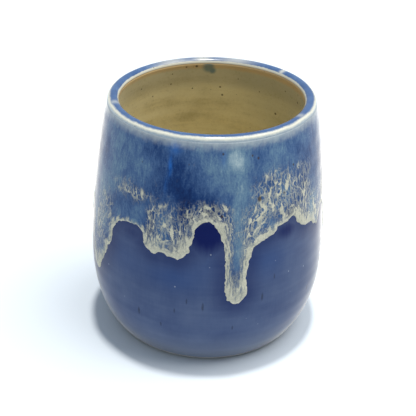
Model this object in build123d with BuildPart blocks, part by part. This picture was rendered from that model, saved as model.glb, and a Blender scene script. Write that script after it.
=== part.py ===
"""Shaving mug: a hand-thrown stoneware tumbler without a handle, and the glaze coats fused to it.

Millimetres, +Z up. The origin is the centre of the foot ring, on the table.
Angles of the glaze runs are counted from the front (-Y) towards the right (+X).
"""

from build123d import *
from math import cos, radians, sin
import os

# Overall form, measured to the outside of the blue glaze.
mug_height = 96.7  # table to the crown of the glazed lip
rim_radius = 38.8  # at the seam where the lip begins
collar_share = 0.65  # the collar's place on the way up from the shoulder to the seam
collar_bulge = 0.5  # how far it stands out past a straight line between them
shoulder_radius = 43.6
shoulder_height = 66.5
belly_radius = 45.95  # the widest place
belly_height = 39.0
flank_radius = 44.6
flank_height = 17.2
heel_radius = 42.0
heel_height = 8.7
glaze_line_radius = 37.2  # the dipped glaze stops here, clear of the foot
glaze_line_height = 1.0

# The hollow, measured to the face of the liner glaze.
mouth_radius = 34.8
mouth_lean = 9.0  # degrees
wall_at_shoulder = 4.6
wall_at_belly = 5.2
inner_heel_radius = 34.6
inner_heel_height = 15.0
floor_radius = 23.0  # flat seat for the soap
floor_height = 8.6

# The foot, turned from the same clay and left bare.
foot_radius = 33.0
foot_width = 4.6
foot_height = 0.6
recess_height = 1.6  # the turned hollow inside the ring
foot_round = 0.35

# Glaze coats.
lip_rise = 1.9  # height of the rounded lip above its seam
liner_thickness = 0.45
blue_thickness = 0.45
over_thickness = 0.5

# The over-glaze is a second dip that ran down the wall before it froze.
hem_height = 58.2  # its lower edge between the runs
trim_reach = 5.0  # how far the shapes that trim the edge stand out past the belly
runs = [  # angle, width, height of the tip
    (-63, 9.5, 30.2),
    (-24, 8.5, 50.7),
    (-14, 9.0, 50.2),
    (14, 9.5, 32.2),
    (30, 13.0, 55.7),
    (53, 9.0, 55.7),
    (66, 10.0, 52.2),
    (88, 9.0, 41.2),
    (112, 8.0, 51.2),
    (131, 10.0, 35.2),
    (152, 9.0, 48.2),
    (178, 9.5, 42.2),
    (201, 8.0, 52.2),
    (224, 10.0, 37.2),
    (248, 9.0, 49.2),
    (270, 8.5, 45.2),
]
arches = [  # angle, width, height of the crown
    (-1, 8.5, 65.7),
    (41, 9.0, 62.2),
    (100, 7.0, 64.2),
    (190, 8.0, 63.2),
    (237, 7.0, 63.2),
]

seam_height = mug_height - lip_rise
collar_height = shoulder_height + collar_share * (seam_height - shoulder_height)
collar_radius = shoulder_radius + collar_share * (rim_radius - shoulder_radius) + collar_bulge
samples = 16  # points that carry an offset curve

heading_at_mouth = (sin(radians(mouth_lean)), -cos(radians(mouth_lean)))
heading_at_floor = (-1, 0)


def offset_points(curve, distance):
    """Points beside a curve, on the left of its direction where distance is positive."""
    points = []
    for step in range(samples + 1):
        place = curve @ (step / samples)
        heading = curve % (step / samples)
        points.append((place.X - distance * heading.Y, place.Y + distance * heading.X))
    return points


def level_end(points, index, height):
    """The same points with one end slid along the wall to an exact height."""
    (x, y) = points[index]
    (near_x, near_y) = points[index + 1 if index == 0 else index - 1]
    slid = x + (near_x - x) * (height - y) / (near_y - y)
    points[index] = (slid, height)
    return points


def outer_points(distance):
    """The outside of the wall, from the glaze line up to the rim seam."""
    return level_end(offset_points(outside, -distance), -1, seam_height)


def inner_points(distance):
    """The inside of the wall, from the rim seam down to the flat floor."""
    points = level_end(offset_points(inside, distance), 0, seam_height)
    points[-1] = (floor_radius, floor_height - distance)
    return points


outside = Spline(
    (glaze_line_radius, glaze_line_height),
    (heel_radius, heel_height),
    (flank_radius, flank_height),
    (belly_radius, belly_height),
    (shoulder_radius, shoulder_height),
    (collar_radius, collar_height),
    (rim_radius, seam_height),
)
inside = Spline(
    (mouth_radius, seam_height),
    (shoulder_radius - wall_at_shoulder, shoulder_height),
    (belly_radius - wall_at_belly, belly_height),
    (inner_heel_radius, inner_heel_height),
    (floor_radius, floor_height),
    tangents=(heading_at_mouth, heading_at_floor),
)

foot_inner_radius = foot_radius - foot_width
foot_top = (foot_radius, foot_height)
recess_edge = (foot_inner_radius, recess_height)

clay_outside = outer_points(-blue_thickness)
blue_outside = outer_points(0)
over_outside = outer_points(over_thickness)
liner_inside = inner_points(0)
clay_inside = inner_points(liner_thickness)


def wall_inside(points):
    """The inside of the wall as one curve that runs level into the floor."""
    return Spline(*points, tangents=(heading_at_mouth, heading_at_floor))


def lip(outer, inner, rise):
    """The rounded lip from the top of the outside to the top of the inside."""
    crown = ((outer[0] + inner[0]) / 2, seam_height + rise)
    heading = outside % 1
    return Spline(outer, crown, inner, tangents=((heading.X, heading.Y), heading_at_mouth))


def radial_plane(angle, distance):
    """A plane that faces away from the axis, with its own y up."""
    front, right = cos(radians(angle)), sin(radians(angle))
    out = Vector(right, -front, 0)
    return Plane(origin=out * distance, x_dir=(front, right, 0), z_dir=out)


# The thrown clay: wall, floor and foot ring in one piece.
with BuildPart() as stoneware_body:
    with BuildSketch(Plane.XZ):
        with BuildLine():
            Spline(*clay_outside)
            lip(clay_outside[-1], clay_inside[0], lip_rise - blue_thickness)
            wall_inside(clay_inside)
            Polyline(clay_inside[-1], (0, clay_inside[-1][1]), (0, recess_height), recess_edge)
            Polyline(recess_edge, (foot_inner_radius, 0), (foot_radius, 0), foot_top, clay_outside[0])
        make_face()
    revolve(axis=Axis.Z)
    fillet(stoneware_body.edges().group_by(Axis.Z)[0], radius=foot_round)
stoneware_body.part.label = "stoneware_body"

# The ochre liner poured inside.
with BuildPart() as liner_glaze:
    with BuildSketch(Plane.XZ):
        with BuildLine():
            wall_inside(liner_inside)
            Polyline(liner_inside[-1], (0, floor_height), (0, clay_inside[-1][1]), clay_inside[-1])
            wall_inside(clay_inside)
            Line(clay_inside[0], liner_inside[0])
        make_face()
    revolve(axis=Axis.Z)
liner_glaze.part.label = "liner_glaze"

# The blue glaze on the outside, from the glaze line to the rim seam.
with BuildPart() as blue_glaze:
    with BuildSketch(Plane.XZ):
        with BuildLine():
            Spline(*blue_outside)
            Line(blue_outside[-1], clay_outside[-1])
            Spline(*clay_outside)
            Line(clay_outside[0], blue_outside[0])
        make_face()
    revolve(axis=Axis.Z)
blue_glaze.part.label = "blue_glaze"

# The band of glaze over the lip, resting on the clay and on the coats' top edges.
with BuildPart() as rim_glaze:
    with BuildSketch(Plane.XZ):
        with BuildLine():
            lip(over_outside[-1], liner_inside[0], lip_rise)
            Line(liner_inside[0], clay_inside[0])
            lip(clay_outside[-1], clay_inside[0], lip_rise - blue_thickness)
            Line(clay_outside[-1], over_outside[-1])
        make_face()
    revolve(axis=Axis.Z)
rim_glaze.part.label = "rim_glaze"

# The shape that the over-glaze flowed into: a band, with runs below it and arches cut up into it.
# Its runs and arches reach from inside the hollow to past the belly, whatever the wall does between.
trim_radius = belly_radius + trim_reach
with BuildPart() as curtain:
    with BuildSketch(Plane.XY.offset(hem_height)):
        Circle(trim_radius)
    extrude(amount=mug_height - hem_height)
    for angle, width, tip in runs:
        with BuildSketch(radial_plane(angle, floor_radius)):
            with Locations((0, (tip + hem_height + width) / 2)):
                SlotOverall(hem_height + width - tip, width, rotation=90)
        extrude(amount=trim_radius - floor_radius)
    for angle, width, crown in arches:
        with BuildSketch(radial_plane(angle, floor_radius)):
            with Locations((0, (crown + hem_height - width) / 2)):
                SlotOverall(crown + width - hem_height, width, rotation=90)
        extrude(amount=trim_radius - floor_radius, mode=Mode.SUBTRACT)

# The over-glaze itself.
with BuildPart() as over_glaze:
    with BuildSketch(Plane.XZ):
        with BuildLine():
            Spline(*over_outside)
            Line(over_outside[-1], blue_outside[-1])
            Spline(*blue_outside)
            Line(blue_outside[0], over_outside[0])
        make_face()
    revolve(axis=Axis.Z)
    add(curtain.part, mode=Mode.INTERSECT)
over_glaze.part.label = "over_glaze"

os.makedirs("parts", exist_ok=True)
for piece in (stoneware_body, liner_glaze, blue_glaze, rim_glaze, over_glaze):
    export_step(piece.part, f"parts/{piece.part.label}.step")
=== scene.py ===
"""Looks of a hand-thrown stoneware shaving mug: ochre inside, blue outside, a pale over-glaze in runs.

Lengths in this file are millimetres until a mesh is made, and metres from there on.
Angles go round the mug from the front (-Y) towards the right (+X), in degrees where they are named so.
"""

import math

import bmesh
import bpy
import numpy as np
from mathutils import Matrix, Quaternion, Vector, noise


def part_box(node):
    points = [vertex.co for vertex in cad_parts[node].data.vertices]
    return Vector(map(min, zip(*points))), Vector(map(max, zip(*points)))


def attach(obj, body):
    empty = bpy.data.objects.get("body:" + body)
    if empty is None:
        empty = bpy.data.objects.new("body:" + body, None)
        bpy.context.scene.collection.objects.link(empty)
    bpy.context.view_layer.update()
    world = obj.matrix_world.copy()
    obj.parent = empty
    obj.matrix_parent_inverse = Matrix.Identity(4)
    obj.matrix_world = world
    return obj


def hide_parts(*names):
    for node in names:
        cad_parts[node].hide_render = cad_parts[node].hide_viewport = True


MM = 0.001
COLUMNS = 480  # steps round the mug
STEP = 0.6  # height of a step up the outside
INNER_STEP = 0.75  # and of a step up the inside
FLOOR_STEP = 0.9  # width of a step across the floor

# Thickness of the over-glaze. EDGE_SINK of it lies below the face of the blue.
OVER_BODY = 0.22
OVER_DROP = 0.16  # more in the drop at the end of a run
OVER_AT_RIM = 0.34  # where it meets the band on the lip
OVER_EDGE = 1.4  # distance from the hem at which it has its full thickness
EDGE_SINK = 0.06
OVER_BACK = 0.1  # how far below the blue's face its hidden face lies

# How the mug moved off the wheel and in the kiln.
TILT_RIGHT = 0.62  # how far the rim's plane rises to the right, over one belly radius
TILT_FRONT = 0.15  # and to the front
OUT_OF_ROUND = 0.0035
SETTLES_FROM = 45  # the height below which it stays true

CLAY_GAP = 0.03  # how far the clay lies clear of the coats' hidden faces
HIDDEN_STEP = 8  # steps of the blue coat's outside to one of its hidden face

# The lower edge of the over-glaze as (degrees, height). The front follows the real mug, and the back
# its style.
HEM = [
    (-69, 30.7), (-65, 30), (-62, 32.7), (-58.5, 37.7), (-55, 42.7), (-52, 47.7), (-51, 52.7),
    (-48.5, 56.2), (-44.5, 58.2), (-37.5, 59.7), (-33, 58.7), (-31, 55.7), (-29.3, 52.7), (-25.8, 50.5),
    (-22, 51.6), (-19.7, 52), (-17, 50.6), (-13.9, 50.4), (-10.7, 52), (-8, 54.6), (-6.6, 58.2),
    (-6, 61.7), (-4, 64.5), (0.5, 65.7), (3.8, 64), (6.3, 60.2), (8.2, 56.2), (8.7, 50.2), (9.1, 45.2),
    (8.5, 41.2), (9.3, 37.2), (10.5, 34), (14.2, 32.2), (18, 33.6), (19.6, 37.7), (19.4, 41.7),
    (18.9, 45.2), (20.8, 50.8), (23.2, 55.2), (28.7, 57.2), (33.7, 58.6), (35.4, 61.2), (39.7, 61.2),
    (45, 62.5), (48.3, 59), (54, 56.5), (60, 55.5), (66.5, 52.3), (70, 54.6), (75, 57.2), (80, 56),
    (82.4, 52), (83.2, 47), (84.6, 43), (88, 41.2), (91.4, 43), (92.6, 48), (93.6, 54), (97, 60.5),
    (102, 62.7), (106, 60.5), (109, 55), (111.5, 52), (115, 52.6), (117, 55.8), (121.5, 57.8),
    (125.4, 55), (126.8, 49), (127, 41), (128.2, 37), (131.4, 35.4), (134.6, 37.2), (135.6, 42),
    (136, 49), (138.5, 55.2), (143, 57.8), (147.6, 54.6), (149, 50.6), (152.4, 48.8), (155.6, 50.6),
    (157, 54.4), (162, 58.8), (168, 57.6), (172, 53.5), (173.4, 47.4), (175, 43.6), (178.4, 42.2),
    (181.6, 43.8), (182.8, 48.2), (183.8, 55), (187, 61), (191.5, 63), (195.6, 59), (197.8, 54.4),
    (201.4, 52.4), (204.8, 54.2), (208.6, 57), (213, 57.8), (217.6, 55), (219.4, 49), (219.8, 42.4),
    (221.2, 38.6), (224.4, 37.2), (227.6, 38.8), (228.8, 43.6), (229.4, 51), (232.6, 58.2), (237, 62),
    (241, 60.6), (244, 55), (245.6, 51), (248.6, 49.2), (251.6, 51), (253.4, 54.6), (259, 57.6),
    (264.4, 55), (266, 49.6), (267.4, 46.6), (270.4, 45.2), (273.4, 46.8), (274.6, 50.4), (277, 54.8),
    (281, 56.4), (284.4, 52), (286, 44.6), (288.5, 35.2),
]  # fmt: skip

# Where the over-glaze gathers before it runs: degrees, height of the tip, half width at the neck,
# height where the stream starts to gather, how strongly it gathers, and its lean in degrees.
STREAMS = [
    (-57, 30.2, 6.0, 64.2, 1.2, -9), (-25, 50.2, 4.5, 78.2, 0.9, 0), (-14, 50.2, 4.5, 76.2, 0.9, 2),
    (14, 32.2, 5.2, 82.2, 2.2, 0), (52, 56.2, 6.0, 74.2, 0.5, 0), (88, 41.2, 5.0, 74.2, 1.4, 0),
    (131, 35.2, 5.0, 78.2, 1.8, 0), (178, 42.2, 5.0, 76.2, 1.4, 0), (224, 37.2, 5.0, 78.2, 1.7, 0),
    (270, 45.2, 5.0, 74.2, 1.2, 0),
]  # fmt: skip

# Zones of the over-glaze, as (degrees, height, half width, half height, strength).
# Lace is the net of cream bubbles, milk is thicker and paler, ink is thinner and darker, and cobalt
# is a streak of bright blue.
LACE = [
    (-64, 50, 5, 13, 0.7), (-56, 60, 5, 9, 0.55), (-44, 72.5, 7, 4, 0.6), (-35, 72, 4, 4.5, 0.55),
    (-27, 62, 2.6, 8, 0.8), (-22, 59, 2.6, 9, 0.7), (-17.5, 61, 2.6, 9, 0.75), (-12, 59, 3, 8, 0.9),
    (-5, 68, 5, 4.5, 0.95), (3, 68.5, 5, 4, 0.95), (8.5, 60, 3.5, 11, 0.95), (14, 38, 5, 8, 0.7),
    (19.6, 48, 2.4, 8, 0.9), (20, 60, 3.5, 9, 0.95), (25, 67, 4, 10, 0.8), (28, 58, 6, 4, 0.9),
    (34, 72, 7, 7, 1.0), (34, 80, 8, 5, 0.35), (42, 74, 4, 6, 0.8), (45, 64, 6, 5, 0.6),
    (54, 70, 6, 9, 0.75), (54, 79, 6, 5, 0.3), (-22, 70, 6, 5, 0.3), (56, 58, 8, 4, 0.6),
    (63, 60, 6, 8, 0.7), (84, 64, 10, 10, 0.8), (104, 70, 9, 8, 0.9), (124, 62, 9, 11, 0.8),
    (150, 64, 10, 9, 0.8), (178, 62, 9, 12, 0.9), (200, 66, 10, 8, 0.8), (222, 60, 9, 12, 0.9),
    (244, 68, 9, 8, 0.8), (268, 62, 10, 10, 0.8),
]  # fmt: skip
MILK = [
    (13, 88.7, 4.5, 4.5, 0.7), (14, 76.2, 6, 12, 0.42), (34, 84.2, 12, 8, 0.25), (34, 71, 7, 7, 0.35),
    (22, 60, 4, 10, 0.35), (-13, 62, 3, 5, 0.2), (-40, 82.2, 16, 8, 0.12), (-62, 56, 6, 14, 0.35),
    (62, 62, 6, 10, 0.4), (14, 56.2, 3, 10, 0.35), (96, 86.2, 12, 6, 0.25), (140, 82.2, 10, 9, 0.4),
    (186, 86.2, 9, 6, 0.5), (214, 78.2, 8, 9, 0.35), (256, 85.2, 12, 7, 0.35),
]  # fmt: skip
INK = [
    (-14, 82.2, 6, 9, 0.65), (-11, 68.2, 3.5, 12, 0.65), (-1, 72.2, 8, 6, 0.6), (-27, 88.2, 7, 5, 0.45),
    (-24, 78.2, 5, 6, 0.3), (27, 90.2, 5, 4, 0.2), (10, 70.2, 1.6, 9, 0.3), (20, 68.2, 1.6, 8, 0.3),
    (42, 64.2, 6, 4, 0.4), (60, 80, 7, 9, 0.4), (76, 76.2, 6, 9, 0.5), (118, 84.2, 8, 7, 0.5),
    (160, 76.2, 6, 10, 0.6), (205, 88.2, 8, 5, 0.5), (236, 78.2, 6, 9, 0.6), (284, 80.2, 8, 8, 0.5),
]  # fmt: skip
COBALT = [
    (-19.4, 85.2, 0.8, 3.2, 0.95), (-17.5, 92.2, 2.4, 2.6, 0.6), (-21, 78.2, 0.7, 3, 0.4),
    (7, 89.2, 1.2, 3, 0.3), (108, 86.2, 1.0, 4, 0.8), (173, 88.2, 1.6, 4, 0.7),
    (232, 84.2, 1.0, 4, 0.8),
]  # fmt: skip

# Zones of the blue glaze: dark pools under the hem, and clearer sea-blue below them.
UNDER_HEM = [
    (0, 61, 10, 8, 1), (40, 58.2, 7, 4, 0.7), (-38, 56.2, 8, 4, 0.5), (102, 59.2, 7, 5, 0.8),
    (190, 58.2, 8, 6, 0.9), (238, 58.2, 7, 5, 0.8), (164, 56.2, 7, 4, 0.5),
]  # fmt: skip
SEA = [
    (-14, 43, 12, 6, 0.9), (30, 48, 8, 7, 0.8), (-42, 44, 8, 7, 0.5), (2, 50, 5, 6, 0.5),
    (118, 38.2, 8, 7, 0.6), (205, 40.2, 8, 6, 0.6),
]  # fmt: skip

# Places on the lip painted pale: partly glaze worn or broken pale, partly painted highlights where light
# glints on the far lip.
WORN_AND_GLINTS = [
    (187, 95, 4.5, 3, 0.85), (165, 95, 9, 3, 0.65), (208, 95, 9, 3, 0.65), (131, 95, 1.3, 3, 0.95),
    (60, 95, 2, 3, 0.5), (286, 95, 2, 3, 0.5),
]  # fmt: skip

# Iron outside: spots in the over-glaze and marks in the blue, as (degrees, height, radius).
IRON = [
    (25, 73.4, 0.75), (39, 73.2, 0.35), (24.7, 88.2, 0.4), (21.6, 89.4, 0.35), (6.6, 90.8, 0.4),
    (6.6, 68.2, 0.4), (-10, 86.7, 0.3), (46, 82.2, 0.35), (-35, 84.2, 0.3), (98, 82.2, 0.5),
    (150, 88.2, 0.4), (166, 70.2, 0.5), (210, 82.2, 0.6), (248, 88.2, 0.4), (276, 74.2, 0.4),
]  # fmt: skip
MARKS = [
    (-32.8, 23.2, 0.45), (-21, 20.2, 0.3), (-8.3, 33.2, 0.28), (-0.8, 31.2, 0.42), (13.7, 20.8, 0.28),
    (27.6, 33.2, 0.42), (33.7, 40.8, 0.28), (-14, 28.2, 0.25), (60, 26.2, 0.35), (95, 32.2, 0.4),
    (118, 20.2, 0.3), (146, 38.2, 0.4), (170, 26.2, 0.35), (199, 34.2, 0.4), (232, 22.2, 0.35),
    (258, 38.2, 0.35), (280, 28.2, 0.3),
]  # fmt: skip

# Where the liner is painted greyer, partly where it is thin and the clay greys it, partly as painted shade
# on the right of the inner wall: degrees, height, radius.
THIN_LINER_AND_SHADE = [(118, 82, 24), (92, 86, 18), (150, 92, 9), (-60, 88, 16)]

# A stain of the rim's blue that ran into the liner, and iron specks inside: degrees, height, radius.
STAIN = [(183, 93.2, 2.2), (180.5, 91.7, 1.4)]
SPECKS = [
    (198, 93.6, 0.35), (191, 93.7, 0.5), (175, 84.1, 0.38), (173.5, 80.4, 0.42), (136, 76.8, 0.5),
    (193, 83.4, 0.3), (208, 86.6, 0.32), (207.5, 91.2, 0.25), (112, 87.7, 0.5), (126, 89.2, 0.3),
    (148, 84.7, 0.28), (163, 88.7, 0.25), (221, 82.7, 0.28), (232, 88.2, 0.3), (60, 82.2, 0.45),
    (20, 86.2, 0.35), (-35, 88.2, 0.4), (-80, 84.2, 0.35),
]  # fmt: skip


# --- what the frame says -------------------------------------------------------------------------

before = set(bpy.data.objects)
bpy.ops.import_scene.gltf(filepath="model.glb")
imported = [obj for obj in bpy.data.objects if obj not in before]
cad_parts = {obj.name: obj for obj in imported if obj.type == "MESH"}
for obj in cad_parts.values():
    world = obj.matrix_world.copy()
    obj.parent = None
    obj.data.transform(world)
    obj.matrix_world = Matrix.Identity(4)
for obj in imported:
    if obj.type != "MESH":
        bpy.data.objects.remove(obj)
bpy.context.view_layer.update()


def measured_wall(node, lowest, highest, from_outside):
    """Radius of a CAD wall against its height, measured on the frame and smoothed across its facets."""
    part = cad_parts[node]
    end_gap, levels, reach = 0.03, 400, 7
    start_radius, heading = (0.1, (-1, 0, 0)) if from_outside else (0, (1, 0, 0))
    heights = np.linspace(lowest + end_gap, highest - end_gap, levels)
    radii = []
    for height in heights:
        found, place, _, _ = part.ray_cast((start_radius, 0, height * MM), heading)
        radii.append(place.x / MM if found else radii[-1])
    weights = np.exp(-0.5 * (np.arange(-2 * reach, 2 * reach + 1) / reach) ** 2)
    slopes = np.array([radii[1] - radii[0], radii[-1] - radii[-2]])
    ramp = np.arange(1, 2 * reach + 1)
    padded = np.concatenate([radii[0] - slopes[0] * ramp[::-1], radii, radii[-1] + slopes[1] * ramp])
    smooth = np.convolve(padded, weights / weights.sum(), "valid")
    return heights, smooth


def wall_radius(wall, height):
    return np.interp(height, *wall)


GLAZE_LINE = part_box("blue_glaze")[0].z / MM
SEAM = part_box("rim_glaze")[0].z / MM
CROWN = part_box("rim_glaze")[1].z / MM
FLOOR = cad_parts["liner_glaze"].ray_cast((0, 0, 0.2), (0, 0, -1))[1].z / MM
CLAY_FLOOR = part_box("liner_glaze")[0].z / MM
OUTSIDE = measured_wall("blue_glaze", GLAZE_LINE, SEAM, True)
INSIDE = measured_wall("liner_glaze", FLOOR, SEAM, False)
COAT = FLOOR - CLAY_FLOOR  # thickness of one coat of glaze
LIP = CROWN - SEAM  # height of the band on the lip
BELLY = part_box("blue_glaze")[1].x / MM
MM_PER_DEGREE = BELLY * math.pi / 180
ROUND = np.arange(COLUMNS) * 360 / COLUMNS - 180

# --- shapes shared by the pieces -----------------------------------------------------------------


def all_round(levels):
    """One row round the mug for each level, with the level all along it."""
    return np.repeat(np.reshape(levels, (-1, 1)), COLUMNS, 1)


def smoothstep(low, high, value):
    t = np.clip((value - low) / (high - low), 0, 1)
    return t * t * (3 - 2 * t)


def bell(value, middle, half_width):
    """1 at the middle, and a smooth fall to either side of it."""
    return np.exp(-(((value - middle) / half_width) ** 2))


def around(degrees, middle):
    """Millimetres round the belly from one angle to others, the short way."""
    return ((degrees - middle + 180) % 360 - 180) * MM_PER_DEGREE


def hum(degrees, height, size, seed):
    """Smooth noise between -1 and 1 over the wall, with features of about the given size."""
    angle = np.radians(degrees)
    x, y = BELLY * np.sin(angle) / size, -BELLY * np.cos(angle) / size
    x, y, z = np.broadcast_arrays(x, y, np.asarray(height) / size + 31.7 * seed)
    flat = [noise.noise(Vector(place)) for place in zip(x.ravel(), y.ravel(), z.ravel())]
    return np.array(flat).reshape(x.shape)


def thrown(degrees, height):
    """Relief that the potter's fingers left: faint rings that climb round the wall, and a slow wobble."""
    ring_pitch, ring_depth, wobble = 6.4, 0.025, 0.2
    turn = height / ring_pitch - degrees / 360
    rings = np.sin(2 * math.pi * turn + 2.2 * hum(degrees, height, 45, 1))
    return ring_depth * rings + wobble * hum(degrees, height, 38, 3)


def thrown_inside(degrees, height):
    """Softer, wider rings left inside by the fingers that raised the wall."""
    ring_pitch, ring_depth, wobble = 8.5, 0.05, 0.2
    turn = height / ring_pitch - degrees / 360
    rings = np.sin(2 * math.pi * turn + 2.5 * hum(degrees, height, 40, 11))
    return ring_depth * rings + wobble * hum(degrees, height, 34, 12)


def settled(x, y, z):
    """The mug as it came off the wheel: its rim a little out of level and out of round."""
    lift = smoothstep(SETTLES_FROM, SEAM, z)
    round_out = 1 + OUT_OF_ROUND * lift * (x * x - y * y) / (x * x + y * y + 1)
    tilt = lift * (TILT_RIGHT * x - TILT_FRONT * y) / BELLY
    return x * round_out, y * round_out, z + tilt


def along(places, step):
    """Points at even steps along a line of (radius, height) points."""
    places = np.array(places, float)
    run = np.concatenate([[0], np.cumsum(np.hypot(*np.diff(places, axis=0).T))])
    at = np.linspace(0, run[-1], max(2, round(run[-1] / step) + 1))
    return np.interp(at, run, places[:, 0]), np.interp(at, run, places[:, 1])


def wall_heights(wall, step):
    """Heights that are evenly spaced along a wall's own slope, from its bottom to its top."""
    return along(np.column_stack([wall[1], wall[0]]), step)[1]


def cut_corners(places, times):
    """The same open line with its corners rounded off."""
    places = np.array(places, float)
    for _ in range(times):
        near, far = places[:-1], places[1:]
        inner = np.stack([0.75 * near + 0.25 * far, 0.25 * near + 0.75 * far], 1).reshape(-1, 2)
        places = np.concatenate([places[:1], inner[1:-1], places[-1:]])
    return places


def made(name, radii, heights, degrees, faces, corner_uv, fields):
    """A smooth piece from its points' radius, height and angle. Fields are values for its material."""
    angle = np.radians(degrees)
    x, y, z = settled(radii * np.sin(angle), -radii * np.cos(angle), heights)
    mesh = bpy.data.meshes.new(name)
    mesh.from_pydata(np.column_stack([x, y, z]) * MM, [], faces)
    mesh.uv_layers.new(name="OFBake").data.foreach_set("uv", np.asarray(corner_uv, np.float32).ravel())
    for title, values in fields.items():
        is_vector = np.ndim(values) == 2
        field = mesh.attributes.new(title, "FLOAT_VECTOR" if is_vector else "FLOAT", "POINT")
        field.data.foreach_set("vector" if is_vector else "value", np.asarray(values, np.float32).ravel())
    shape = bmesh.new()
    shape.from_mesh(mesh)
    bmesh.ops.recalc_face_normals(shape, faces=shape.faces)
    shape.to_mesh(mesh)
    shape.free()
    mesh.polygons.foreach_set("use_smooth", [True] * len(mesh.polygons))
    piece = bpy.data.objects.new(name, mesh)
    bpy.context.scene.collection.objects.link(piece)
    return piece


def spun(name, radii, heights, axis_ends=None, fields=None):
    """A turned piece with one ring to a row. Its section closes on itself or, where it has no fields,
    on the axis at two heights."""
    rows = len(radii)
    degrees = np.broadcast_to(ROUND, radii.shape)
    radius, height = radii.mean(1), heights.mean(1)
    if axis_ends:
        radius = np.concatenate([[0], radius, [0]])
        height = np.concatenate([axis_ends[:1], height, axis_ends[1:]])
    else:
        radius, height = np.append(radius, radius[0]), np.append(height, height[0])
    travel = np.concatenate([[0], np.cumsum(np.hypot(np.diff(radius), np.diff(height)))])
    travel /= travel[-1]
    first = 1 if axis_ends else 0
    faces, uv = [], []
    for row in range(rows - 1 if axis_ends else rows):
        low, high = row * COLUMNS, (row + 1) % rows * COLUMNS
        v0, v1 = travel[row + first], travel[row + first + 1]
        for left in range(COLUMNS):
            right = (left + 1) % COLUMNS
            u0, u1 = left / COLUMNS, (left + 1) / COLUMNS
            faces.append((low + left, low + right, high + right, high + left))
            uv += [(u0, v0), (u1, v0), (u1, v1), (u0, v1)]
    flat = [radii.ravel(), heights.ravel(), degrees.ravel()]
    values = {title: np.ravel(field) for title, field in (fields or {}).items()}
    if axis_ends:
        for pole, ring, v0, v1 in ((0, 0, 0, travel[1]), (1, rows - 1, 1, travel[-2])):
            for left in range(COLUMNS):
                right = (left + 1) % COLUMNS
                start = ring * COLUMNS
                faces.append((rows * COLUMNS + pole, start + right, start + left))
                uv += [((left + 0.5) / COLUMNS, v0), ((left + 1) / COLUMNS, v1), (left / COLUMNS, v1)]
        flat = [np.append(flat[0], [0, 0]), np.append(flat[1], axis_ends), np.append(flat[2], [0, 0])]
    return made(name, *flat, faces, uv, values)


def patches(places, degrees, height):
    """How strongly any of the listed zones holds at each point of the wall, from 0 to 1."""
    clear = np.ones(np.broadcast(degrees, height).shape)
    for angle, middle, half_width, half_height, strength in places:
        across = around(degrees, angle) / half_width
        up = (height - middle) / half_height
        clear = clear * (1 - strength * np.exp(-(across**2) - up**2))
    return 1 - clear


# --- the hem of the over-glaze -------------------------------------------------------------------

TURN = 360 * MM_PER_DEGREE  # once round the belly


def hem_line():
    """The hem as a smooth, slightly ragged line of (mm round the wall, height), over one turn long."""
    divisions, spare = 8, 25
    points = np.array(HEM, float) * (MM_PER_DEGREE, 1)
    turns = np.concatenate([points + (TURN * k, 0) for k in (-1, 0, 1)])
    a, b, c, d = turns[:-3], turns[1:-2], turns[2:-1], turns[3:]
    t = (np.arange(divisions) / divisions)[:, None, None]
    bend, twist = 2 * a - 5 * b + 4 * c - d, 3 * b - a - 3 * c + d
    curve = 0.5 * (2 * b + (c - a) * t + bend * t**2 + twist * t**3)
    line = curve.transpose(1, 0, 2).reshape(-1, 2)
    degrees, height = line[:, 0] / MM_PER_DEGREE, line[:, 1]
    for size, depth in ((3.0, 0.6), (1.2, 0.6)):
        shift = [depth * hum(degrees, height, size, seed) for seed in (4, 5)]
        line = line + np.column_stack(shift)
    return line[np.abs(line[:, 0]) < TURN / 2 + spare]


HEM_LINE = hem_line()


def from_hem(degrees, height):
    """For each point of the wall, its distance up from the hem, negative below it, and the hem's
    nearest point. The wall is taken in upright strips, each with the part of the hem beside it."""
    strip_width, looks_round = 3, 12
    points = np.column_stack([np.ravel(degrees) * MM_PER_DEGREE, np.ravel(height)])
    distance, nearest = np.empty(len(points)), np.empty_like(points)
    strip = np.floor(points[:, 0] / strip_width)
    for number in np.unique(strip):
        here = np.flatnonzero(strip == number)
        beside = np.abs(HEM_LINE[:-1, 0] - strip_width * number) < looks_round
        start, end = HEM_LINE[:-1][beside], HEM_LINE[1:][beside]
        # The nearest place to each point on each piece of the hem, and the best of them.
        side, part = end - start, points[here]
        share = np.clip(((part[:, None] - start) * side).sum(2) / (side * side).sum(1), 0, 1)
        feet = start + share[..., None] * side
        gap = np.hypot(*(part[:, None] - feet).transpose(2, 0, 1))
        best = gap.argmin(1)
        # A point is below the hem when the hem passes over it an odd number of times.
        passes = (start[:, 0] <= part[:, :1]) != (end[:, 0] <= part[:, :1])
        with np.errstate(divide="ignore", invalid="ignore"):
            crossing = start[:, 1] + (part[:, :1] - start[:, 0]) * side[:, 1] / side[:, 0]
        below = (passes & (crossing > part[:, 1:])).sum(1) % 2
        rows = np.arange(len(here))
        distance[here] = np.where(below, -1, 1) * gap[rows, best]
        nearest[here] = feet[rows, best]
    return distance.reshape(np.shape(height)), nearest


def flow(degrees, height):
    """Places on the wall carried back up the glaze's streams, so streaks gather as they near a run."""
    carried = np.array(degrees, float)
    for angle, tip, neck, top, gather, lean in STREAMS:
        fallen = 1 - smoothstep(tip + 8, top, height)
        across = around(degrees, angle + lean * fallen)
        hold = fallen * bell(across, 0, 1.5 * neck)
        carried = carried + gather * across * hold / MM_PER_DEGREE - lean * hold
    angle = np.radians(carried)
    return np.stack([BELLY * np.sin(angle), -BELLY * np.cos(angle), height + 0 * angle], -1)


def tips(degrees, height):
    """How near a point is to the fat drop at the end of a run, from 0 to 1."""
    above_tip, half_height = 2.5, 5
    drops = [
        (angle + lean, tip + above_tip, 0.75 * neck, half_height, 1)
        for angle, tip, neck, _, _, lean in STREAMS
    ]
    return patches(drops, degrees, height)


# --- the pieces ----------------------------------------------------------------------------------


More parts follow.
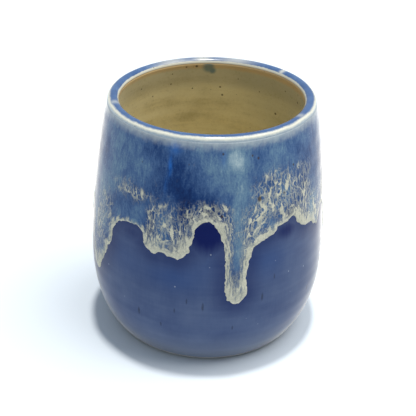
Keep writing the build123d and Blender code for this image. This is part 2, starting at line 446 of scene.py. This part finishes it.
def over_thickness(degrees, height, distance):
    """How far the over-glaze stands above the blue: rounded at its hem, and fat in the drops."""
    unevenness, ridge = 0.06 * hum(degrees, height, 5, 6), 0.06 * bell(distance, 0, 2.2)
    body = OVER_BODY + unevenness + ridge + OVER_DROP * tips(degrees, height)
    body = body + (OVER_AT_RIM - body) * smoothstep(SEAM - 4, SEAM, height)
    rounding = np.sqrt(1 - (1 - np.clip(distance / OVER_EDGE, 0, 1)) ** 2)
    return rounding * body - EDGE_SINK


def make_blue_coat():
    """The blue glaze, with a wavering line at the foot where its edge drew up into a low bead."""
    heights = wall_heights(OUTSIDE, STEP)
    heights[[0, -1]] = GLAZE_LINE, SEAM
    rows = all_round(heights)
    near_line = 1 - smoothstep(GLAZE_LINE, GLAZE_LINE + 9, rows)
    rows = rows + near_line * (0.05 + 0.15 * hum(ROUND, heights[:, None], 16, 7))
    degrees = np.broadcast_to(ROUND, rows.shape)
    bead = 0.16 * bell(rows, GLAZE_LINE + 1.2, 1.1)
    radii = wall_radius(OUTSIDE, rows) + thrown(degrees, rows) + bead
    back = slice(None, None, HIDDEN_STEP)
    inner_rows = rows[::-1][back]
    inner_radii = (radii - COAT - bead)[::-1][back]
    inner_radii[-1] = radii[0] - COAT
    distance = from_hem(degrees, rows)[0]
    fields = {
        "above_hem": distance,
        "ink": patches(UNDER_HEM, degrees, rows),
        "sea": patches(SEA, degrees, rows),
    }
    fields = {title: np.concatenate([v, v[::-1][back]]) for title, v in fields.items()}
    radii, rows = np.concatenate([radii, inner_radii]), np.concatenate([rows, inner_rows])
    piece = spun("blue_coat", radii, rows, fields=fields)
    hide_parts("blue_glaze")
    return piece


def twice(values):
    return np.concatenate([values, values])


def make_over_coat():
    """The second dip. Its grid keeps the cells that reach above the hem, and draws their lower corners
    onto it. A hidden face and a strip round the border close it."""
    heights = np.arange(SEAM, HEM_LINE[:, 1].min() - STEP, -STEP)
    rows = all_round(heights)
    degrees = np.broadcast_to(ROUND, rows.shape)
    distance, nearest = from_hem(degrees, rows)
    inside = distance > 0
    kept = []
    for i in range(len(heights) - 1):
        for j in range(COLUMNS):
            corners = ((i, j), (i, (j + 1) % COLUMNS), (i + 1, (j + 1) % COLUMNS), (i + 1, j))
            if any(inside[c] for c in corners):
                kept.append([a * COLUMNS + b for a, b in corners])
    kept = np.array(kept)
    used = np.unique(kept)
    place = np.full(rows.size, -1)
    place[used] = np.arange(len(used))
    quads = place[kept]
    around_wall, up = degrees.ravel()[used], rows.ravel()[used]
    apart = distance.ravel()[used]
    outside = apart <= 0
    foot = nearest[used][outside]
    around_wall[outside], up[outside] = foot[:, 0] / MM_PER_DEGREE, foot[:, 1]
    apart = np.maximum(apart, 0)
    wall = wall_radius(OUTSIDE, up) + thrown(around_wall, up)
    outer, inner = wall + over_thickness(around_wall, up, apart), wall - OVER_BACK
    count = len(used)
    sides = [(a, b) for quad in quads for a, b in zip(quad, np.roll(quad, -1))]
    known = set(sides)
    border = [(a, b) for a, b in sides if (b, a) not in known]
    faces = [tuple(q) for q in quads] + [tuple(q[::-1] + count) for q in quads]
    faces += [(b, a, a + count, b + count) for a, b in border]

    # The face you see takes the upper half of the bake image, the hidden one the lower half, and the
    # border a thin strip between them.
    u, v = around_wall / 360 + 0.5, (up - heights[-1]) / (heights[0] - heights[-1])
    uv = []
    for sheet, low in ((0, 0.5), (1, 0)):
        for quad in quads:
            lefts = u[quad]
            lefts = np.where(lefts < lefts.max() - 0.5, lefts + 1, lefts)
            turn = range(4) if sheet == 0 else range(3, -1, -1)
            uv += [(min(lefts[k], 1), low + 0.49 * v[quad[k]]) for k in turn]
    uv += [(u[k], 0.495 + 0.004 * s) for a, b in border for k, s in ((b, 1), (a, 1), (a, 0), (b, 0))]
    fields = {
        "above_hem": twice(apart),
        "flow": twice(flow(around_wall, up)),
        "lace": twice(patches(LACE, around_wall, up)),
        "milk": twice(patches(MILK, around_wall, up)),
        "ink": twice(patches(INK, around_wall, up)),
        "drop": twice(tips(around_wall, up)),
        "cobalt": twice(patches(COBALT, around_wall, up)),
        "from_rim": twice(SEAM - up),
    }
    radii = np.concatenate([outer, inner])
    piece = made("over_coat", radii, twice(up), twice(around_wall), faces, uv, fields)
    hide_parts("over_glaze")
    return piece


def make_rim_band():
    """The glaze over the lip: a rounded band that meets the coats outside and the liner inside."""
    far_from_hem = 20
    outer = wall_radius(OUTSIDE, SEAM) + thrown(ROUND, SEAM) + over_thickness(ROUND, SEAM, far_from_hem)
    inner = wall_radius(INSIDE, SEAM) + thrown_inside(ROUND, SEAM)
    middle, half = (outer + inner) / 2, (outer - inner) / 2
    swell = 1 + 0.03 * hum(ROUND, CROWN, 14, 9)
    over, under = all_round(np.linspace(0, math.pi, 25)), all_round(np.linspace(math.pi, 0, 7))
    over_radii = middle + half * np.cos(over)
    over_rows = SEAM + LIP * swell * np.sin(over) ** 0.85
    under_radii = middle + (half - COAT) * np.cos(under)
    under_rows = SEAM + (LIP - COAT) * np.sin(under)
    radii, rows = np.concatenate([over_radii, under_radii]), np.concatenate([over_rows, under_rows])
    across = np.concatenate([over, under]) / math.pi
    # Pale patches on the lip: worn glaze and painted highlights.
    worn = np.broadcast_to(patches(WORN_AND_GLINTS, ROUND, CROWN), across.shape)
    piece = spun("rim_band", radii, rows, fields={"across": across, "worn": worn})
    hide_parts("rim_glaze")
    return piece


def make_liner():
    """The glaze inside: the floor with a spiral of finger grooves, the wall, and its hidden face."""
    heights = wall_heights(INSIDE, INNER_STEP)
    heights[-1] = SEAM
    wall_rows = all_round(heights)
    wall_radii = wall_radius(INSIDE, wall_rows) + thrown_inside(ROUND, wall_rows)
    groove_pitch, groove_depth = 6, 0.14
    flat_radii = all_round(np.arange(1, wall_radius(INSIDE, heights[0]), FLOOR_STEP))
    grooves = np.sin(2 * math.pi * (flat_radii / groove_pitch - ROUND / 360))
    flat_rows = FLOOR + smoothstep(4, 22, flat_radii) * groove_depth * grooves
    back_rows = all_round(np.linspace(SEAM, heights[0], 14))
    back_radii = wall_radius(INSIDE, back_rows) + thrown_inside(ROUND, back_rows) + COAT
    back_rows[-1] = CLAY_FLOOR
    radii = np.concatenate([flat_radii, wall_radii, back_radii])
    rows = np.concatenate([flat_rows, wall_rows, back_rows])
    piece = spun("liner_coat", radii, rows, (FLOOR, CLAY_FLOOR))
    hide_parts("liner_glaze")
    return piece


def make_clay_body():
    """The clay under the glaze, bare at the turned foot. The foot's sizes are measured on the frame."""
    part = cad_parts["stoneware_body"]

    def probe(start, heading):
        return part.ray_cast(Vector(start) * MM, heading)[1] / MM

    straight_side = 0.45  # a height on the ring's sides, above its rounded edges
    foot_outer = probe((BELLY * 2, 0, straight_side), (-1, 0, 0)).x
    foot_inner = probe((0, 0, straight_side), (1, 0, 0)).x
    recess = probe((0, 0, -BELLY), (0, 0, 1)).z
    foot_top = probe((foot_outer + 0.05, 0, -BELLY), (0, 0, 1)).z
    glaze_radius = wall_radius(OUTSIDE, GLAZE_LINE + 0.4) - COAT

    # From the middle of the recess, round the foot ring and out to the glaze line.
    ease, groove_pitch, groove_depth = 2, 2.4, 0.06
    foot = [(foot_inner, recess), (foot_inner, 0.0), (foot_outer, 0.0), (foot_outer, foot_top)]
    foot = [(1, recess), (foot_inner - ease, recess)] + foot + [(glaze_radius, GLAZE_LINE + 0.5)]
    foot_radii, foot_rows = map(all_round, along(cut_corners(foot, 3), 0.45))
    grooves = np.sin(2 * math.pi * (foot_radii / groove_pitch - ROUND / 360))
    foot_rows = foot_rows + groove_depth * (foot_radii < foot_inner - ease - 0.5) * grooves
    foot_radii = foot_radii + thrown(ROUND, GLAZE_LINE) * smoothstep(foot_outer, glaze_radius, foot_radii)

    # Behind the coats: up the outside, over the lip and down the inside.
    up = all_round(np.linspace(GLAZE_LINE + 1.6, SEAM, 40))
    up_radii = wall_radius(OUTSIDE, up) + thrown(ROUND, up) - COAT - CLAY_GAP
    lip = all_round(np.linspace(0, math.pi, 9)[1:-1])
    outer, inner = up_radii[-1], wall_radius(INSIDE, SEAM) + thrown_inside(ROUND, SEAM) + COAT
    lip_radii = (outer + inner) / 2 + (outer - inner) / 2 * np.cos(lip)
    lip_rows = SEAM + (LIP - COAT - 0.05) * np.sin(lip)
    down = all_round(np.linspace(SEAM, INSIDE[0][0], 30))
    down_radii = wall_radius(INSIDE, down) + thrown_inside(ROUND, down) + COAT + CLAY_GAP
    down[-1] = CLAY_FLOOR - CLAY_GAP
    radii = np.concatenate([foot_radii, up_radii, lip_radii, down_radii])
    rows = np.concatenate([foot_rows, up, lip_rows, down])
    piece = spun("clay_body", radii, rows, (recess, CLAY_FLOOR - CLAY_GAP))
    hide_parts("stoneware_body")
    return piece


# --- recipes: shader maths -----------------------------------------------------------------------


class Value:
    """An output of a shader node. Python's operators on it add Math nodes."""

    def __init__(self, recipe, socket):
        self.recipe = recipe
        self.socket = socket

    def math(self, operation, *others, first=None):
        terms = [self if first is None else first, *others]
        return self.recipe.node("ShaderNodeMath", {"operation": operation}, terms)

    def __add__(self, other):
        return self.math("ADD", other)

    def __sub__(self, other):
        return self.math("SUBTRACT", other)

    def __rsub__(self, other):
        return self.math("SUBTRACT", self, first=other)

    def __mul__(self, other):
        return self.math("MULTIPLY", other)

    def __truediv__(self, other):
        return self.math("DIVIDE", other)

    def __rtruediv__(self, other):
        return self.math("DIVIDE", self, first=other)

    __radd__ = __add__
    __rmul__ = __mul__

    def highest(self, other):
        return self.math("MAXIMUM", other)

    def rise(self, low, high):
        """0 below low, 1 above high, and a smooth rise between; it falls where low is above high."""
        settings = {"interpolation_type": "SMOOTHSTEP"}
        sockets = {"Value": self, "From Min": min(low, high), "From Max": max(low, high)}
        ends = {"To Min": 0.0, "To Max": 1.0} if low < high else {"To Min": 1.0, "To Max": 0.0}
        return self.recipe.node("ShaderNodeMapRange", settings, sockets | ends)


class Recipe:
    """One finish. Each method adds nodes to its material and returns their value."""

    def __init__(self, title, **constants):
        self.material = bpy.data.materials.new(title)
        self.material.use_nodes = True
        self.tree = self.material.node_tree
        self.shader = self.tree.nodes["Principled BSDF"]
        for socket, value in constants.items():
            self.shader.inputs[socket.replace("_", " ")].default_value = value

    def node(self, kind, settings=None, sockets=(), output=0):
        """A node of a kind with its settings, and values or links for its sockets."""
        made_node = self.tree.nodes.new(kind)
        for title, value in (settings or {}).items():
            if title == "stops":
                ramp = made_node.color_ramp
                for place, colour in value[2:]:
                    ramp.elements.new(place)
                for element, (place, colour) in zip(ramp.elements, sorted(value)):
                    element.position, element.color = place, (*colour, 1)
            else:
                setattr(made_node, title, value)
        pairs = sockets.items() if isinstance(sockets, dict) else enumerate(sockets)
        for place, value in pairs:
            if isinstance(value, Value):
                self.tree.links.new(value.socket, made_node.inputs[place])
            else:
                made_node.inputs[place].default_value = value
        return Value(self, made_node.outputs[output])

    def field(self, title, vector=False):
        """A value kept at the points of the mesh."""
        output = "Vector" if vector else "Fac"
        return self.node("ShaderNodeAttribute", {"attribute_name": title}, (), output)

    def place(self):
        """The place on the mug, in millimetres."""
        metres = self.node("ShaderNodeTexCoord", output="Object")
        return self.stretched(metres, 1 / MM, 1 / MM, 1 / MM)

    def stretched(self, vector, x, y, z):
        """A place scaled along each axis: below 1, what is drawn there is drawn out."""
        return self.node("ShaderNodeVectorMath", {"operation": "MULTIPLY"}, [vector, (x, y, z)])

    def moved(self, vector, by, amount):
        """A place pushed about by a push noise, to break up whatever is drawn there."""
        shift = self.node("ShaderNodeVectorMath", {"operation": "SUBTRACT"}, [by, (0.5, 0.5, 0.5)])
        shift = self.stretched(shift, amount, amount, amount)
        return self.node("ShaderNodeVectorMath", {"operation": "ADD"}, [vector, shift])

    def height_of(self, vector):
        return self.node("ShaderNodeSeparateXYZ", {}, [vector], "Z")

    def cloud(self, vector, size, detail=3.0, rough=0.55, seed=0.0, output="Fac"):
        """Soft noise between 0 and 1, with features of about size millimetres."""
        settings = {"noise_dimensions": "4D"}
        sockets = {"Vector": vector, "W": seed, "Scale": 1 / size, "Detail": detail, "Roughness": rough}
        return self.node("ShaderNodeTexNoise", settings, sockets, output)

    def push(self, vector, size, detail=2, seed=0.0):
        """Noise in three directions, to move a place with."""
        return self.cloud(vector, size, detail, seed=seed, output="Color")

    def cells(self, vector, size, feature="DISTANCE_TO_EDGE"):
        """Distance from the walls of packed cells of about size millimetres, or with F1 their middles."""
        settings = {"voronoi_dimensions": "3D", "feature": feature}
        sockets = {"Vector": vector, "Scale": 1 / size}
        return self.node("ShaderNodeTexVoronoi", settings, sockets, "Distance")

    def blend(self, factor, low, high):
        """A colour between two others. The Mix node's sockets share names, so they go by number."""
        factor_in, low_in, high_in, colour_out = 0, 6, 7, 2
        low, high = (c if isinstance(c, Value) else (*c, 1) for c in (low, high))
        sockets = {factor_in: factor, low_in: low, high_in: high}
        return self.node("ShaderNodeMix", {"data_type": "RGBA"}, sockets, colour_out)

    def shades(self, value, stops):
        return self.node("ShaderNodeValToRGB", {"stops": stops}, [value])

    def finish(self, colour, roughness, height=None, depth=0.1):
        """Joins the recipe to its shader. Height is a value whose range is depth millimetres of relief."""
        links = {"Base Color": colour, "Roughness": roughness}
        if height is not None:
            sockets = {"Strength": 1.0, "Distance": depth * MM, "Height": height}
            links["Normal"] = self.node("ShaderNodeBump", {}, sockets)
        for socket, value in links.items():
            if isinstance(value, Value):
                self.tree.links.new(value.socket, self.shader.inputs[socket])
            else:
                self.shader.inputs[socket].default_value = value
        return self.material


def tint(red, green, blue):
    """A colour from its everyday screen values, 0 to 255."""
    parts = [c / 255 for c in (red, green, blue)]
    return tuple(c / 12.92 if c <= 0.04045 else ((c + 0.055) / 1.055) ** 2.4 for c in parts)


def spots(recipe, place, places, wall, stretch=1.0):
    """1 in soft spots at the listed (degrees, height, radius) on a wall, 0 elsewhere."""
    found = None
    for angle, height, radius in places:
        turn = math.radians(angle)
        reach = float(wall_radius(wall, height))
        x, y, z = settled(reach * math.sin(turn), -reach * math.cos(turn), height)
        offset = recipe.node("ShaderNodeVectorMath", {"operation": "SUBTRACT"}, [place, (x, y, z)])
        offset = recipe.stretched(offset, 1, 1, 1 / stretch)
        away = recipe.node("ShaderNodeVectorMath", {"operation": "LENGTH"}, [offset], "Value")
        spot = away.rise(1.5 * radius, 0.5 * radius)
        found = spot if found is None else found.highest(spot)
    return found


# --- recipes: finishes ---------------------------------------------------------------------------


# Both glazes outside hardly mirror, and scatter a fine white haze where they turn away.
OUTER_SKIN = {
    "IOR": 1.5,
    "Specular_IOR_Level": 0.04,
    "Sheen_Weight": 0.9,
    "Sheen_Roughness": 0.28,
    "Sheen_Tint": (1.0, 0.95, 0.88, 1),
}


def pale_over_glaze():
    """Grey-blue where it is thin, with a web of cream bubbles, and solid cream where it has run."""
    recipe = Recipe("pale_over_glaze", **OUTER_SKIN)
    place = recipe.place()
    above = recipe.field("above_hem")
    lace, milk, ink = recipe.field("lace"), recipe.field("milk"), recipe.field("ink")
    drop, cobalt, from_rim = recipe.field("drop"), recipe.field("cobalt"), recipe.field("from_rim")
    stream = recipe.field("flow", True)
    drift = recipe.moved(stream, recipe.push(place, 4.5), 3.0)
    drift = recipe.moved(drift, recipe.push(place, 1.4), 0.9)

    # The thin glaze: streaks that follow the runs, over slow clouds, with a fine grain.
    grain = recipe.cloud(place, 0.6, 3, seed=9)
    streaks = recipe.cloud(recipe.stretched(drift, 1, 1, 0.2), 0.8, 4, 0.62)
    clouds = recipe.cloud(recipe.stretched(place, 1, 1, 0.6), 7, 4, 0.6, seed=2)
    mottle = (streaks - 0.5) * 0.5 + (clouds - 0.5) * 0.8 + (grain - 0.5) * 0.25
    depth = 0.53 + mottle + milk * 0.42 - ink * 0.42 - lace * 0.14
    thin = recipe.shades(depth, [
        (0.0, tint(4, 14, 58)), (0.25, tint(24, 54, 102)), (0.5, tint(66, 94, 134)),
        (0.72, tint(102, 131, 153)), (1.0, tint(166, 184, 188)),
    ])  # fmt: skip
    thin = recipe.blend(cobalt * streaks.rise(0.25, 0.6), thin, tint(30, 96, 176))

    # The web of bubbles: dark holes drawn out down the wall, in a cream net that thickens with the lace.
    crowd = lace + (recipe.cloud(place, 3.0, 2, seed=4) - 0.5) * 1.2 - 0.1
    tangle = recipe.moved(drift, recipe.push(place, 0.8, seed=13), 0.8)
    bubble, pit = 1.4, 0.8
    drawn_out = recipe.stretched(tangle, 1, 1, 0.4)
    large = (recipe.cells(drawn_out, bubble, "F1") + crowd.rise(0.1, 1.3) * 0.17).rise(0.64, 0.8)
    pits = recipe.cells(recipe.stretched(tangle, 1, 1, 0.55), pit, "F1")
    small = (pits + crowd.rise(0.2, 1.3) * 0.14).rise(0.7, 0.86)
    walls = (0.06 - recipe.cells(drawn_out, bubble)).rise(-0.06, 0.05)
    web = large.highest(small * 0.6).highest(walls * 0.6)
    web = web * crowd.rise(0.0, 0.6) * lace.rise(0.02, 0.35)
    strands = recipe.cloud(recipe.stretched(drift, 1, 1, 0.1), 0.85, 3, seed=6)
    strands = (strands + crowd * 0.07).rise(0.53, 0.67)
    web = web.highest(strands * crowd.rise(-0.05, 0.8) * 0.7)

    # The thick hem, frayed upwards along the streams, cut by fine rills and pitted by bubbles.
    fray = (recipe.cloud(recipe.stretched(tangle, 1, 1, 0.35), 1.1, 3, seed=8) - 0.5) * 6.5
    rills = recipe.cloud(recipe.stretched(stream, 1, 1, 0.1), 0.7, 3, seed=11).rise(0.5, 0.68)
    wide = 0.8 + lace * 1.6 + drop * 3.2
    hem = (above / wide + fray + rills * above.rise(0.8, 3.0) * (1.6 - drop)).rise(2.6, 0.3)
    hem = hem * (0.6 + 0.4 * (pits + above.rise(3.0, 0.5)).rise(0.3, 0.55))
    thick = web.highest(hem)
    cream = recipe.shades(grain * 0.6 + thick * 0.25 + recipe.cloud(place, 4, 2, seed=5) * 0.3, [
        (0.3, tint(136, 137, 122)), (0.55, tint(174, 173, 155)), (0.8, tint(210, 206, 184)),
    ])  # fmt: skip
    colour = recipe.blend(thick * 0.95, thin, cream)

    # Paler towards the rim, where the glaze breaks over the edge.
    broken = (from_rim + (recipe.cloud(place, 2, 2, seed=12) - 0.5) * 3).rise(3.8, -0.5)
    colour = recipe.blend(broken * 0.55, colour, tint(196, 202, 196))
    iron = spots(recipe, place, IRON, OUTSIDE, 1.4)
    colour = recipe.blend(iron * 0.85, colour, tint(62, 48, 36))
    roughness = 0.2 + grain * 0.12 + thick * 0.1
    relief = thick * 0.6 + grain * 0.12 + streaks * 0.2
    return recipe.finish(colour, roughness, relief, depth=0.12)


def blue_glaze():
    """Clouded blue, darkest just under the hem, with faint lines from the wheel, some iron marks, and a
    painted reflection of the floor as a grey haze towards the foot.
    """
    recipe = Recipe("blue_glaze", **OUTER_SKIN)
    place = recipe.place()
    above, ink, sea = recipe.field("above_hem"), recipe.field("ink"), recipe.field("sea")
    height = recipe.height_of(place)
    clouds = recipe.cloud(place, 14, 3, 0.5)
    lines = recipe.cloud(recipe.stretched(place, 0.06, 0.06, 1), 1.8, 3, 0.6, seed=2)
    streaks = recipe.cloud(recipe.stretched(place, 1, 1, 0.12), 0.9, 3, 0.6, seed=3)
    depth = 0.5 + (clouds - 0.5) * 0.8 + (lines - 0.5) * 0.26 + (streaks - 0.5) * 0.16
    colour = recipe.shades(depth, [
        (0.1, tint(50, 66, 106)), (0.5, tint(75, 90, 124)), (0.9, tint(98, 112, 140)),
    ])  # fmt: skip
    colour = recipe.blend(sea * 0.5, colour, tint(28, 66, 124))
    halo = (above + (clouds - 0.5) * 6).rise(-8, 0.0) * 0.5
    pool = (ink + (clouds - 0.5) * 0.4 + (streaks - 0.5) * 0.3).rise(0.0, 0.9)
    colour = recipe.blend(halo.highest(pool * 0.96), colour, tint(4, 20, 80))
    # Paler grey towards the foot: a painted reflection of the pale floor on the bottom of the wall.
    foot = (height + (clouds - 0.5) * 4).rise(20, 1)
    colour = recipe.blend(foot * 0.5, colour, tint(128, 136, 146))
    grain = recipe.cloud(place, 0.7, 3, seed=5)
    pores = recipe.cells(place, 6.5, "F1").rise(0.06, 0.03)
    colour = recipe.blend(pores * 0.45, colour, tint(180, 190, 200))
    marks = spots(recipe, place, MARKS, OUTSIDE, 4.0)
    colour = recipe.blend(marks * (0.2 + grain * 0.6), colour, tint(40, 40, 40))
    roughness = 0.16 + grain * 0.1 + streaks * 0.05
    return recipe.finish(colour, roughness, grain * 0.1 + lines * 0.3, depth=0.04)


def ochre_liner_glaze():
    """Khaki in soft bands, greyer where it is thin and in painted shade on the right of the wall,
    darker under the rim, with iron specks and a blue-green stain."""
    recipe = Recipe("ochre_liner_glaze", IOR=1.5, Specular_IOR_Level=0.3, Sheen_Weight=0.1)
    place = recipe.place()
    height = recipe.height_of(place)
    clouds = recipe.cloud(place, 11, 4, 0.55)
    bands = recipe.cloud(recipe.stretched(place, 0.12, 0.12, 1), 3.5, 3, 0.55, seed=2)
    grain = recipe.cloud(place, 0.8, 4, 0.65, seed=3)
    depth = 0.5 + (clouds - 0.5) * 0.9 + (bands - 0.5) * 0.8 + (grain - 0.5) * 0.4
    colour = recipe.shades(depth, [
        (0.1, tint(180, 168, 126)), (0.5, tint(220, 208, 164)), (0.9, tint(236, 226, 184)),
    ])  # fmt: skip
    # Greyer patches: thin liner, and painted shade on the right of the inner wall.
    thin = spots(recipe, place, THIN_LINER_AND_SHADE, INSIDE) * (0.6 + clouds * 0.8)
    colour = recipe.blend(thin * 0.34, colour, tint(128, 130, 112))
    top = (height + (clouds - 0.5) * 4).rise(82, 88)
    colour = recipe.blend(top * 0.5, colour, tint(160, 152, 124))
    edge = (height + (grain - 0.5) * 2).rise(91.8, 93.6)
    colour = recipe.blend(edge * 0.6, colour, tint(206, 166, 108))
    stain = spots(recipe, place, STAIN, INSIDE)
    colour = recipe.blend(stain * 0.75, colour, tint(72, 112, 118))
    specks = spots(recipe, place, SPECKS, INSIDE)
    freckles = recipe.cells(place, 3.1, "F1").rise(0.075, 0.03)
    colour = recipe.blend(specks.highest(freckles * 0.7) * 0.9, colour, tint(64, 50, 38))
    return recipe.finish(colour, 0.22 + grain * 0.14, grain * 0.3 + bands * 0.4, depth=0.1)


def rim_glaze():
    """Blue over the crown of the lip, broken to cream at both edges."""
    recipe = Recipe("rim_glaze", IOR=1.5, Specular_IOR_Level=0.4, Sheen_Weight=0.1)
    place = recipe.place()
    across = recipe.field("across")
    clouds = recipe.cloud(place, 6, 3)
    grain = recipe.cloud(place, 0.8, 4, seed=2)
    blue = recipe.shades(clouds * 0.6 + grain * 0.4, [
        (0.2, tint(40, 68, 112)), (0.5, tint(60, 92, 140)), (0.8, tint(92, 122, 158)),
    ])  # fmt: skip
    shift = (clouds - 0.5) * 0.2 + (grain - 0.5) * 0.14
    outer = (across + shift).rise(0.4, 0.22)
    inner = (across + shift * 0.6).rise(0.76, 0.85)
    # Pale patches on the lip: worn glaze and painted highlights of glints.
    worn = recipe.field("worn")
    cream = recipe.blend((across + shift).rise(0.02, 0.22), tint(150, 164, 174), tint(214, 214, 200))
    colour = recipe.blend(outer.highest(inner).highest(worn), blue, cream)
    below = across.rise(0.93, 0.99)
    colour = recipe.blend(below * 0.7, colour, tint(196, 158, 104))
    dark = recipe.cells(place, 4.5, "F1").rise(0.08, 0.04)
    colour = recipe.blend(dark * 0.6, colour, tint(66, 58, 50))
    return recipe.finish(colour, 0.16 + grain * 0.1, grain * 0.2 + clouds * 0.3, depth=0.08)


def stoneware_clay():
    """Bare buff clay at the foot, rough with grog and turned with a tool."""
    recipe = Recipe("stoneware_clay", IOR=1.45, Specular_IOR_Level=0.3)
    place = recipe.place()
    clouds = recipe.cloud(place, 8, 3)
    grain = recipe.cloud(place, 0.5, 5, 0.7, seed=2)
    colour = recipe.shades(clouds * 0.5 + grain * 0.5, [
        (0.25, tint(146, 124, 98)), (0.5, tint(178, 157, 128)), (0.8, tint(204, 186, 158)),
    ])  # fmt: skip
    grog = recipe.cells(place, 1.3, "F1")
    colour = recipe.blend(grog.rise(0.16, 0.06) * 0.7, colour, tint(96, 72, 54))
    return recipe.finish(colour, 0.78 + grain * 0.12, grain * 0.7 + grog.rise(0.0, 0.3) * 0.3, depth=0.15)


# --- the mug -------------------------------------------------------------------------------------

FINISHES = {
    make_clay_body: stoneware_clay,
    make_liner: ochre_liner_glaze,
    make_blue_coat: blue_glaze,
    make_over_coat: pale_over_glaze,
    make_rim_band: rim_glaze,
}
for make, finish in FINISHES.items():
    piece = make()
    piece.data.materials.append(finish())
    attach(piece, "root")

# --- floor, light and camera ---------------------------------------------------------------------


def make_floor():
    """A wide, pale, matt floor, very faintly uneven in shade."""
    bpy.ops.mesh.primitive_plane_add(size=6, location=(0, 0, 0))
    floor = bpy.context.object
    floor.name = "pale_floor"
    recipe = Recipe("floor_paint", Specular_IOR_Level=0.0)
    unevenness = recipe.cloud(recipe.place(), 60, 2)
    paint = recipe.shades(unevenness, [(0.0, (0.69, 0.76, 0.83)), (1.0, (0.71, 0.78, 0.85))])
    floor.data.materials.append(recipe.finish(paint, 0.9))


def make_light():
    """A pale sky, a small lamp overhead, and a broader one from the right that reaches the hollow."""
    world = bpy.data.worlds.new("studio")
    world.use_nodes = True
    background = world.node_tree.nodes["Background"]
    background.inputs["Color"].default_value = (0.84, 0.92, 1.0, 1)
    background.inputs["Strength"].default_value = 0.48
    bpy.context.scene.world = world
    lamps = (
        ("overhead", (0.02, 0.05, 1.0), 2.3, 6),
        ("side", (0.5, 0.0, 1.0), 1.7, 40),
    )
    for name, toward, strength, spread in lamps:
        sun = bpy.data.lights.new(name, "SUN")
        sun.energy = strength
        sun.angle = math.radians(spread)
        sun.color = (1.0, 0.96, 0.9)
        lamp = bpy.data.objects.new(name, sun)
        lamp.rotation_mode = "QUATERNION"
        lamp.rotation_quaternion = Vector(toward).to_track_quat("Z", "Y")
        bpy.context.scene.collection.objects.link(lamp)


def make_camera():
    """A long lens, looking down at the middle of the mug from the front."""
    camera = bpy.data.cameras.new("camera")
    camera.lens = 86.8
    camera.sensor_width = 36
    camera.dof.use_dof = False
    view = bpy.data.objects.new("camera", camera)
    target, away, rise = Vector((0, 0, 0.0486)), 0.4, math.radians(29.52)
    nod, roll = math.radians(-0.2), math.radians(2.09)
    view.location = target + away * Vector((0, -math.cos(rise), math.sin(rise)))
    aim = (target - view.location).to_track_quat("-Z", "Y")
    view.rotation_mode = "QUATERNION"
    view.rotation_quaternion = aim @ Quaternion((1, 0, 0), nod) @ Quaternion((0, 0, 1), roll)
    bpy.context.scene.collection.objects.link(view)
    bpy.context.scene.camera = view


make_floor()
make_light()
make_camera()
bpy.context.scene.view_settings.view_transform = "Standard"
